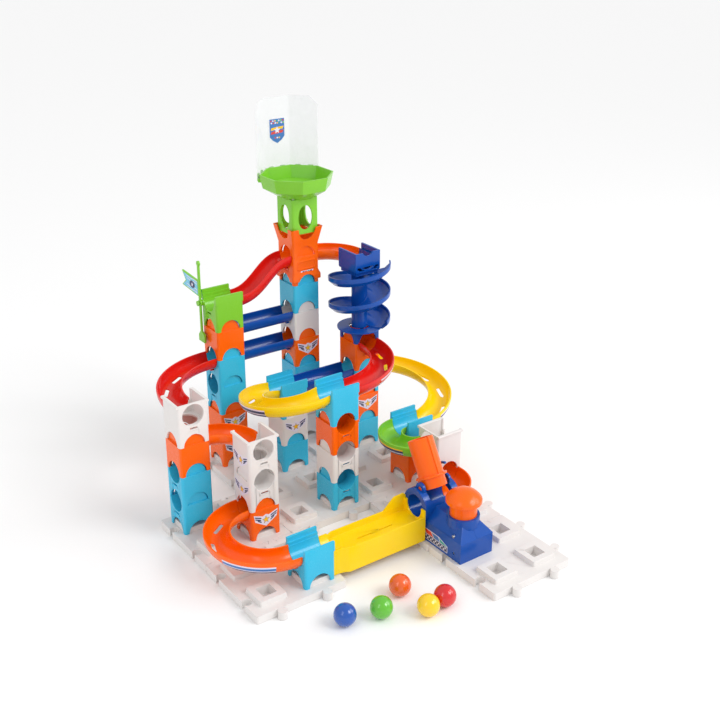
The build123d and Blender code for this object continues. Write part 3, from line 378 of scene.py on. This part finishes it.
# %% Round the edges of one node
def moulded_copy(node, limit=34):
    """A rounded copy of a CAD node, and the radius in millimetres that suited it."""
    copy = clean_copy(node)
    sharp = copy.data.copy()
    before = skin_area(copy)
    used = 0.0
    for radius in (0.4, 0.25, 0.12):
        rounder = copy.modifiers.new("mould_radius", "BEVEL")
        rounder.width = radius * MM
        rounder.segments = 2
        rounder.limit_method = "ANGLE"
        rounder.angle_limit = radians(limit)
        rounder.use_clamp_overlap = False
        bpy.ops.object.modifier_apply(modifier="mould_radius")
        if skin_area(copy) < before * 1.0001:
            used = radius
            break
        copy.data = sharp.copy()
    bpy.ops.object.shade_smooth_by_angle(angle=radians(limit + 6))
    flat = copy.modifiers.new("flat_faces", "WEIGHTED_NORMAL")
    flat.keep_sharp = True
    bpy.ops.object.modifier_apply(modifier="flat_faces")
    return copy, used


print("rounding helper ready")

# %% [markdown]
# The loop reads each node's finish from its own material name, which the frame sets to the slot of
# the record. Marbles, spring, screws and the thin shield have no mould edge to round, so they keep
# their CAD mesh and only change material.

# %% Give every node its finish
body_of_node = {n: body for body, names in frame["record"]["behaviour"]["bodies"].items() for n in names}
finishes = dict(abs_plastic)
finishes.update(marble_plastic)
finishes.update(shield_clear=shield_sheet, steel=steel, flag_blue=abs_plastic["green_plastic"])
corner_count, radii = 0, {}
for node, source in sorted(frame["nodes"].items()):
    slot_name = source.material_slots[0].material.name.split(".")[0]
    finish = finishes[slot_name]
    if slot_name in abs_plastic or slot_name == "flag_blue":
        piece, radius = moulded_copy(node)
        radii.setdefault(radius, []).append(node)
        piece.material_slots[0].material = finish
        finish_piece(piece, body_of_node[node], angle=0)
        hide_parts(node)
        corner_count += len(piece.data.polygons)
    source.material_slots[0].material = finish
print("faces on rounded copies:", corner_count)
for radius, names in sorted(radii.items()):
    print(f"edge radius {radius} mm:", len(names), names if radius < 0.3 else "")

# %% [markdown]
# ## Decals
# The set comes with self-adhesive vinyl decals. Vinyl is a tenth of a millimetre thick, less glossy
# than the ABS under it, and its ink has a fine screen. Each decal here is a real thin plate with
# printed shapes standing a few hundredths proud of it, so it stays crisp from any angle. All designs
# are generic: stars, stripes and chequers.

# %% Printed vinyl
def printed_vinyl(name, base, ink):
    """Semi-gloss printed vinyl: base colour with a fine ink screen, about 0.5 mm so that it shows."""
    material, tree, spot = blank(name)
    screen = add_node(tree, "ShaderNodeTexVoronoi", {"Scale": 1 / 0.0005}, {"Vector": spot})
    wear = add_node(tree, "ShaderNodeTexNoise", {"Scale": 1 / 0.004, "Detail": 3.0}, {"Vector": spot})
    gloss = add_node(tree, "ShaderNodeMapRange", {"To Min": 0.32, "To Max": 0.5},
                     {"Value": wear.outputs["Fac"]})
    shader = add_node(tree, "ShaderNodeBsdfPrincipled", {"IOR": 1.5},
                      {"Base Color": mixed(tree, screen.outputs["Distance"], colour(base), colour(ink)),
                       "Roughness": gloss.outputs["Result"]})
    output(tree, shader.outputs["BSDF"])
    return material


inks = {
    "paper": printed_vinyl("lilac_white_printed_vinyl", "#ECE8F4", "#DFD9EC"),
    "navy": printed_vinyl("navy_ink_on_vinyl", "#1C2552", "#27305F"),
    "gold": printed_vinyl("yellow_ink_on_vinyl", "#FFC81E", "#F5BC14"),
    "sky": printed_vinyl("sky_ink_on_vinyl", "#6FC4E6", "#83CEEA"),
    "lime": printed_vinyl("lime_ink_on_vinyl", "#9BCB33", "#8CBF2C"),
    "scarlet": printed_vinyl("scarlet_ink_on_vinyl", "#E0402E", "#D23628"),
    "teal": printed_vinyl("teal_ink_on_vinyl", "#1FA79B", "#1C998E"),
    "denim": printed_vinyl("denim_ink_on_vinyl", "#3F79C0", "#3A70B4"),
}
print("inks:", ", ".join(inks))

# %% [markdown]
# A flat shape starts as a filled circle primitive with as many corners as the shape needs. Its
# corners are set to the drawing, and the face is extruded to the thickness of the vinyl. Shapes are
# drawn face up, with x to the right and y up, in millimetres.

# %% Cut one flat shape
VINYL = 0.12


def cut_shape(name, corners, low, high, ink):
    """Closed thin plate with these corners between two heights in millimetres."""
    clear_selection()
    bpy.ops.mesh.primitive_circle_add(vertices=len(corners), radius=MM, fill_type="NGON")
    shape = bpy.context.object
    shape.name = name
    for vertex, corner in zip(shape.data.vertices, corners):
        vertex.co = Vector((corner[0], corner[1], low)) * MM
    bpy.ops.object.mode_set(mode="EDIT")
    bpy.ops.mesh.select_all(action="SELECT")
    bpy.ops.mesh.extrude_region_move(TRANSFORM_OT_translate={"value": (0, 0, (high - low) * MM)})
    bpy.ops.mesh.select_all(action="SELECT")
    bpy.ops.mesh.normals_make_consistent(inside=False)
    bpy.ops.object.mode_set(mode="OBJECT")
    shape.data.materials.append(inks[ink])
    return shape


def star(x, y, radius, pinch=0.45, points=5):
    """Corners of a star, one point up."""
    return [(x + radius * (pinch if k % 2 else 1) * sin(pi * k / points),
             y + radius * (pinch if k % 2 else 1) * cos(pi * k / points)) for k in range(2 * points)]


def join_shapes(name, shapes):
    """Join the shapes of one decal into a single mesh."""
    clear_selection()
    for shape in shapes:
        shape.select_set(True)
    bpy.context.view_layer.objects.active = shapes[0]
    bpy.ops.object.join()
    shapes[0].name = name
    return shapes[0]


print("a star has", len(star(0, 0, 1)), "corners")

# %% [markdown]
# ### Winged star
# The decal on most towers: a small shield with two swept wings, three dark bars on each wing, and a
# yellow star in the middle.

# %% Winged star decal
def mirrored(corners):
    """The same shape on the other side, corners kept in turning order."""
    return [(-x, y) for x, y in reversed(corners)]


wing = [(0, 5.2), (3.5, 3.6), (14, 7.4), (12.6, -0.6), (6.5, -4.4), (0, -8.6)]
shapes = [cut_shape("winged_star", wing + [(-x, y) for x, y in reversed(wing[1:-1])], -0.05, VINYL, "paper")]
for drop, near, far in ((0, 5.4, 13.0), (2.4, 5.8, 12.4), (4.8, 5.2, 9.8)):
    bar = [(near, 2.6 - drop), (far, 5.6 - drop), (far - 0.2, 4.2 - drop), (near + 0.2, 1.2 - drop)]
    for corners in (bar, mirrored(bar)):
        shapes.append(cut_shape("bar", corners, VINYL - 0.02, VINYL + 0.05, "navy"))
shapes.append(cut_shape("star_edge", star(0, -1.2, 4.6), VINYL - 0.02, VINYL + 0.04, "navy"))
shapes.append(cut_shape("star", star(0, -1.2, 3.9), VINYL + 0.02, VINYL + 0.08, "gold"))
winged_star = join_shapes("winged_star_master", shapes)
winged_star.data.transform(Matrix.Diagonal((1.2, 1.2, 1, 1)))
print("winged star:", len(winged_star.data.polygons), "faces")

# %% [markdown]
# A decal is placed by a matrix whose columns are the face's own right, up and outward directions.
# Each copy gets its own mesh, so it can be exported and repainted alone.

# %% Stick a decal on a face
SIDES = {
    "front": (Vector((1, 0, 0)), Vector((0, -1, 0))),
    "left": (Vector((0, -1, 0)), Vector((-1, 0, 0))),
    "back": (Vector((-1, 0, 0)), Vector((0, 1, 0))),
    "right": (Vector((0, 1, 0)), Vector((1, 0, 0))),
}


def face_matrix(point, side):
    """Matrix that lays a drawing on an upright face at this point."""
    across, out = SIDES[side]
    matrix = Matrix((across, Vector((0, 0, 1)), out)).transposed().to_4x4()
    matrix.translation = point
    return matrix


def stick(master, name, point, side, body="frame"):
    """A copy of a decal on a face."""
    copy = bpy.data.objects.new(name, master.data.copy())
    bpy.context.scene.collection.objects.link(copy)
    settle(copy, face_matrix(point, side))
    return finish_piece(copy, body)


def on_block(i, j, level, side, lift=0.66):
    """Point on the outer face of a block, at a share of its height."""
    return place(i, j, level + lift) + SIDES[side][1] * FACE


star_places = [
    (-1, 3, 0, "front"), (-1, 3, 1, "front"), (1, 3, 3, "front"), (0, 2, 1, "front"), (2, 2, 1, "front"),
    (-2, 0, 0, "front"), (-2, 0, 1, "left"), (-2, 0, 2, "left"),
]
for i, j, level, side in star_places:
    stick(winged_star, f"decal_star_{i + 3}{j}_{level}_{side}", on_block(i, j, level, side), side)
bpy.data.objects.remove(winged_star)
print("winged stars stuck:", len(star_places))

# %% [markdown]
# ### Curved stripes
# Long decals follow the outer wall of several bends. The wall is a quarter-round trough, so the band
# starts as a short chain of edges along that round, and Spin sweeps it about the bend's own centre.
# A climbing bend lifts the band as it turns. Solidify then gives the vinyl its thickness.

# %% Sweep a striped band
STRIPES = ("paper", "navy", "navy", "paper", "navy", "navy", "paper")


def striped_band(name, centre, radius, start, end, rise=0.0, rows=STRIPES):
    """Band on a bend's outer wall from one angle to another; rise is the climb per degree."""
    clear_selection()
    bpy.ops.mesh.primitive_circle_add(vertices=len(rows) * 2 + 1, radius=MM, fill_type="NOTHING")
    band = bpy.context.object
    band.name = name
    count = len(band.data.vertices)
    for k, vertex in enumerate(band.data.vertices):
        dip = radians(6 + 50 * k / (count - 1))
        wall = TROUGH_R + 0.04 * MM
        vertex.co = Vector((radius + wall * cos(dip), 0, -wall * sin(dip)))
    bpy.ops.object.mode_set(mode="EDIT")
    bpy.ops.mesh.select_all(action="DESELECT")
    mesh = bmesh.from_edit_mesh(band.data)
    for edge in mesh.edges:
        if abs(edge.verts[0].index - edge.verts[1].index) > 1:
            edge.select_set(True)
    bmesh.update_edit_mesh(band.data)
    bpy.ops.mesh.delete(type="EDGE_FACE")
    bpy.ops.mesh.select_all(action="SELECT")
    steps = max(6, int(abs(end - start) / 4))
    bpy.ops.mesh.spin(steps=steps, angle=radians(end - start), center=(0, 0, 0), axis=(0, 0, -1))
    bpy.ops.mesh.select_all(action="SELECT")
    bpy.ops.mesh.remove_doubles(threshold=0.01 * MM)
    bpy.ops.object.mode_set(mode="OBJECT")
    for vertex in band.data.vertices:
        x, y, z = vertex.co
        along = abs(atan2(y, x))
        angle = radians(start) + along
        reach = (x * x + y * y) ** 0.5
        vertex.co = (reach * cos(angle), reach * sin(angle), z + rise * angle * 180 / pi)
    for ink in dict.fromkeys(rows):
        band.data.materials.append(inks[ink])
    names = list(dict.fromkeys(rows))
    for face in band.data.polygons:
        reach = (face.center.x ** 2 + face.center.y ** 2) ** 0.5 - radius
        turn = atan2(face.center.y, face.center.x) % (2 * pi)
        height = face.center.z - rise * turn * 180 / pi
        share = (atan2(-height, reach) - radians(6)) / radians(50)
        face.material_index = names.index(rows[min(len(rows) - 1, max(0, int(share * len(rows))))])
    hold(band)
    bpy.ops.object.mode_set(mode="EDIT")
    bpy.ops.mesh.select_all(action="SELECT")
    bpy.ops.mesh.normals_make_consistent(inside=False)
    bpy.ops.object.mode_set(mode="OBJECT")
    first = band.data.polygons[0]
    outward = Vector((first.center.x, first.center.y, 0)).normalized()
    if first.normal.dot(outward) < 0:
        band.data.flip_normals()
    skin = band.modifiers.new("vinyl", "SOLIDIFY")
    skin.thickness = VINYL * MM
    skin.offset = 1
    bpy.ops.object.modifier_apply(modifier="vinyl")
    band.location = centre
    settle(band)
    return finish_piece(band, "frame")


FAR_R = 2 * PITCH - FACE - GAP
bands = [
    striped_band("decal_band_return", Vector((-2 * PITCH - FACE - GAP, -PITCH, BASE + LEVEL)),
                 PITCH, 196, 246, 0, ("paper", "denim", "denim", "paper", "navy", "navy", "paper")),
    striped_band("decal_band_green", Vector((2 * PITCH - FACE - GAP, -PITCH / 2, BASE + 2 * LEVEL)),
                 PITCH / 2, 150, 215, 0, ("gold", "navy", "navy", "paper", "navy", "navy", "gold")),
    striped_band("decal_band_red", Vector((FACE + GAP, 2 * PITCH - FACE - GAP, BASE + 4 * LEVEL)),
                 FAR_R, 292, 322, 0, ("paper", "scarlet", "scarlet", "paper", "navy", "navy", "paper")),
]
print("flat bands:", len(bands))

# %% [markdown]
# The two yellow bends climb one level in half a turn, so their bands rise by the same share per
# degree. The lower end of each bend is where its own turn starts.

# %% Bands on the climbing bends
climb = LEVEL / 180
low_left = Vector((-FACE - GAP, PITCH, BASE + 3 * LEVEL - 90 * climb))
bands.append(striped_band("decal_band_yellow_left", low_left, PITCH, 150, 205, climb))
low_right = Vector((2 * PITCH + FACE + GAP, PITCH, BASE + 2 * LEVEL - 270 * climb))
bands.append(striped_band("decal_band_yellow_right", low_right, PITCH, 285, 330, climb))
print("bands in all:", len(bands))

# %% [markdown]
# ### Splitter strip, launcher decal, flag and shield badge
# Four more decals, each drawn once. The launcher's is a long wedge with coloured blades over a
# chequered foot; the flag's is a sky-blue banner with pale waves and a round emblem; the badge on the
# shield is a pennant with confetti.

# %% Splitter strip
shapes = [cut_shape("decal_splitter_strip", [(-10, -2.6), (10, -2.6), (11, 2.6), (-9, 2.6)],
                    -0.05, VINYL, "paper")]
for x, ink in ((-7.4, "navy"), (-3.4, "scarlet"), (0.6, "teal"), (4.6, "navy")):
    shapes.append(cut_shape("blade", [(x, -1.9), (x + 3, -1.9), (x + 4.2, 1.9), (x + 1.2, 1.9)],
                            VINYL - 0.02, VINYL + 0.05, ink))
strip = join_shapes("decal_splitter_strip", shapes)
settle(strip, face_matrix(place(1, 3, 6.0) + Vector((0, -FACE, 17.4 * MM)), "front"))
finish_piece(strip, "frame")

# %% Launcher side decal
_, side_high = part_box("launcher_body_left")
foot = Vector((PITCH - 25.0 * MM, side_high.y - 12 * MM, BASE))
shapes = [cut_shape("decal_launcher_side",
                    [(0, 3), (70, 3), (70, 12), (54, 17.5), (24, 17.5), (12, 21), (0, 21)],
                    -0.05, VINYL, "paper")]
blades = [([(1, 11), (14, 11), (9, 20), (1, 20)], "gold"),
          ([(15.5, 11), (30, 11), (24, 16.6), (11.5, 19)], "lime"),
          ([(31, 11), (44, 11), (39, 16.6), (25.5, 16.6)], "scarlet"),
          ([(45, 11), (56, 11), (53, 16.6), (40.5, 16.6)], "denim"),
          ([(57, 11), (69, 11), (69, 11.6), (54.5, 16.4)], "teal"),
          ([(0.8, 3.8), (69.2, 3.8), (69.2, 10.2), (0.8, 10.2)], "navy")]
for corners, ink in blades:
    shapes.append(cut_shape("blade", corners, VINYL - 0.02, VINYL + 0.04, ink))
for k in range(22):
    x, y = 2 + 3 * k, (4.6, 7.2)[k % 2]
    shapes.append(cut_shape("chequer", [(x, y), (x + 2.4, y), (x + 2.4, y + 2.2), (x, y + 2.2)],
                            VINYL + 0.02, VINYL + 0.08, "paper"))
side_decal = join_shapes("decal_launcher_side", shapes)
settle(side_decal, face_matrix(foot, "left"))
finish_piece(side_decal, "frame")
print("launcher decal:", len(side_decal.data.polygons), "faces")

# %% Flag banners
flag_low, flag_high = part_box("flag")
hinge = Vector((0, 3 * PITCH + FACE - 4.5 * MM, BASE + 5 * LEVEL + LEVEL - 7 * MM))
banner = [(3.2, 10.8), (44.6, 14.4), (34.6, 22), (43.6, 32), (3.2, 29.4)]


def oval(x, y, wide, tall, count=24):
    """Corners of an oval."""
    return [(x + wide * cos(2 * pi * k / count), y + tall * sin(2 * pi * k / count)) for k in range(count)]


def draw_banner(name, sign):
    """One side's banner; sign turns the drawing for the side it faces."""
    def turn(corners):
        return [(sign * x, y) for x, y in (corners if sign > 0 else reversed(corners))]
    made = [cut_shape(name, turn(banner), -0.05, VINYL, "sky")]
    for y in (13.4, 17.4, 25.6, 29.0):
        wave = [(4.2, y - 0.8), (12, y + 0.2), (22, y - 0.8), (34, y + 0.6), (34, y + 1.5), (22, y + 0.3),
                (12, y + 1.3), (4.2, y + 0.3)]
        made.append(cut_shape("wave", turn(wave), VINYL - 0.02, VINYL + 0.04, "paper"))
    made.append(cut_shape("emblem", turn(oval(18, 21.3, 7.6, 5.0)), VINYL - 0.02, VINYL + 0.06, "navy"))
    made.append(cut_shape("emblem_star", turn(star(18, 21.0, 3.4)), VINYL + 0.02, VINYL + 0.1, "paper"))
    return join_shapes(name, made)


near_banner = draw_banner("decal_flag_left", -1)
settle(near_banner, face_matrix(Vector((flag_low.x, hinge.y, hinge.z)), "left"))
finish_piece(near_banner, "flag")
far_banner = draw_banner("decal_flag_right", 1)
settle(far_banner, face_matrix(Vector((flag_high.x, hinge.y, hinge.z)), "right"))
finish_piece(far_banner, "flag")
print("banner faces at x", round(flag_low.x, 4), round(flag_high.x, 4))

# %% Shield badge
SHEET = 1.8 * MM         # thickness of the shield
BADGE_DROP = 46 * MM     # from the shield's top edge to the badge's centre
_, shield_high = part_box("funnel_shield")
panel_y = shield_high.y - SHEET
crest = [(-11.5, 16), (11.5, 16), (11.5, -8), (7, -13), (0, -17), (-7, -13), (-11.5, -8)]
shapes = [cut_shape("decal_shield_badge", list(reversed(crest)), 0.0, VINYL, "denim")]
tones = ("scarlet", "paper", "gold", "teal", "paper", "lime", "scarlet", "paper")
for k in range(21):
    row, step = divmod(k, 7)
    x, y = -10.2 + 3.1 * step + (0.7 if row == 1 else 0), (12.6, 9.6, -10.4)[row]
    if row == 2 and not 1 < step < 5:
        continue
    shapes.append(cut_shape("confetti", star(x + 0.9, y + 0.9, 1.5, 0.62, 4),
                            VINYL - 0.02, VINYL + 0.05, tones[k % 8]))
shapes.append(cut_shape("bar_red", [(-10.2, -4.6), (8.6, -3.2), (10.2, 0.4), (-8.6, -1.0)], VINYL - 0.02,
                        VINYL + 0.05, "scarlet"))
shapes.append(cut_shape("bar_gold", [(-10.2, 0.6), (8.6, 2.0), (10.2, 5.6), (-8.6, 4.2)], VINYL - 0.02,
                        VINYL + 0.05, "gold"))
shapes.append(cut_shape("badge_star", star(0, 0.6, 5.2), VINYL + 0.02, VINYL + 0.1, "paper"))
badge = join_shapes("decal_shield_badge", shapes)
settle(badge, face_matrix(Vector((PITCH, panel_y - 0.02 * MM, shield_high.z - BADGE_DROP)), "front"))
finish_piece(badge, "frame")
print("badge centre height", round(shield_high.z - BADGE_DROP, 3))

# %% [markdown]
# ## Tilt quadrant
# Beside the launch tube a royal-blue quadrant guides its tilt. It is a small bar section swept about
# the tube's own pivot, so a small section spun through 74 degrees makes it, and Bevel rounds it.

# %% Tilt quadrant
pivot = Vector((PITCH, -2 * PITCH - 2 * MM, BASE + LEVEL + 22 * MM))
clear_selection()
bpy.ops.mesh.primitive_plane_add(size=1, location=(0, 0, 0))
quadrant = bpy.context.object
quadrant.name = "tilt_quadrant"
bpy.ops.object.mode_set(mode="EDIT")
bpy.ops.mesh.select_all(action="SELECT")
bpy.ops.transform.resize(value=(3.2 * MM, 2.6 * MM, 1), orient_type="GLOBAL")
bpy.ops.transform.translate(value=(19.8 * MM, 21.5 * MM, 0))
bpy.ops.mesh.spin(steps=18, angle=radians(74), center=(0, 0, 0), axis=(1, 0, 0))
bpy.ops.mesh.select_all(action="SELECT")
bpy.ops.mesh.normals_make_consistent(inside=False)
bpy.ops.object.mode_set(mode="OBJECT")
print("quadrant spans", [round(c / MM, 1) for c in quadrant.dimensions])

# %% Round, turn and place the quadrant
rounder = quadrant.modifiers.new("mould_radius", "BEVEL")
rounder.width = 0.5 * MM
rounder.segments = 2
rounder.limit_method = "ANGLE"
hold(quadrant)
bpy.ops.object.modifier_apply(modifier="mould_radius")
quadrant.data.materials.append(abs_plastic["darkblue_plastic"])
settle(quadrant, Matrix.Translation(pivot) @ Matrix.Rotation(radians(82), 4, "X"))
finish_piece(quadrant, "frame")
edges = bmesh.new()
edges.from_mesh(quadrant.data)
print("open edges on the quadrant:", sum(not e.is_manifold for e in edges.edges))
edges.free()

# %% [markdown]
# ## Studio
# The toy stands on a seamless white sweep. A very large plane is the floor, matte and nearly white.
# The sky around it is an even white dome, which fills the shadows, and one broad sun from the right
# gives the soft shadows and the bright right-hand faces. Two softboxes add the long highlights that
# tell the eye the plastic is glossy.

# %% Floor
floor_white, tree, spot = blank("matte_white_paper_sweep")
fibre = add_node(tree, "ShaderNodeTexNoise", {"Scale": 1 / 0.003, "Detail": 2.0}, {"Vector": spot})
paper = add_node(tree, "ShaderNodeBsdfPrincipled", {"Roughness": 0.9, "Specular IOR Level": 0.1},
                 {"Base Color": mixed(tree, fibre.outputs["Fac"], colour("#FAFAFA"), colour("#F7F7F7"))})
output(tree, paper.outputs["BSDF"])
clear_selection()
bpy.ops.mesh.primitive_plane_add(size=30, location=(0, 0, -0.0002))
floor = settle(bpy.context.object)
floor.name = "studio_floor"
floor.data.materials.append(floor_white)
print("floor", [round(c) for c in floor.dimensions])

# %% Sky and lamps
world = bpy.data.worlds.new("studio_sky")
bpy.context.scene.world = world
world.use_nodes = True
world.node_tree.nodes["Background"].inputs["Color"].default_value = (1.0, 1.0, 1.0, 1.0)
world.node_tree.nodes["Background"].inputs["Strength"].default_value = 0.78


def aim_at(lamp, target):
    """Turn a lamp or box so that it looks at a point."""
    lamp.rotation_euler = (Vector(target) - lamp.location).to_track_quat("-Z", "Y").to_euler()


def lamp(name, kind, place_at, strength, size):
    """Add one light looking at the middle of the toy."""
    data = bpy.data.lights.new(name, kind)
    data.energy = strength
    if kind == "SUN":
        data.angle = radians(size)
    else:
        data.shape = "RECTANGLE"
        data.size, data.size_y = size
    made = bpy.data.objects.new(name, data)
    bpy.context.scene.collection.objects.link(made)
    made.location = Vector(place_at)
    aim_at(made, (0, 0, 0.15))
    return made


lamp("key_sun", "SUN", (1.0, -1.6, 1.9), 1.0, 25)
lamp("right_softbox", "AREA", (1.3, -0.9, 1.0), 7, (0.7, 1.1))
lamp("left_softbox", "AREA", (-1.5, -0.7, 1.3), 4, (0.5, 1.2))
bpy.context.scene.view_settings.view_transform = "Standard"
print("sky, sun and two softboxes")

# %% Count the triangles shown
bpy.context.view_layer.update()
triangles = sum(len(f.vertices) - 2 for o in bpy.data.objects if o.type == "MESH" and not o.hide_render
                for f in o.data.polygons)
print("triangles shown:", triangles)
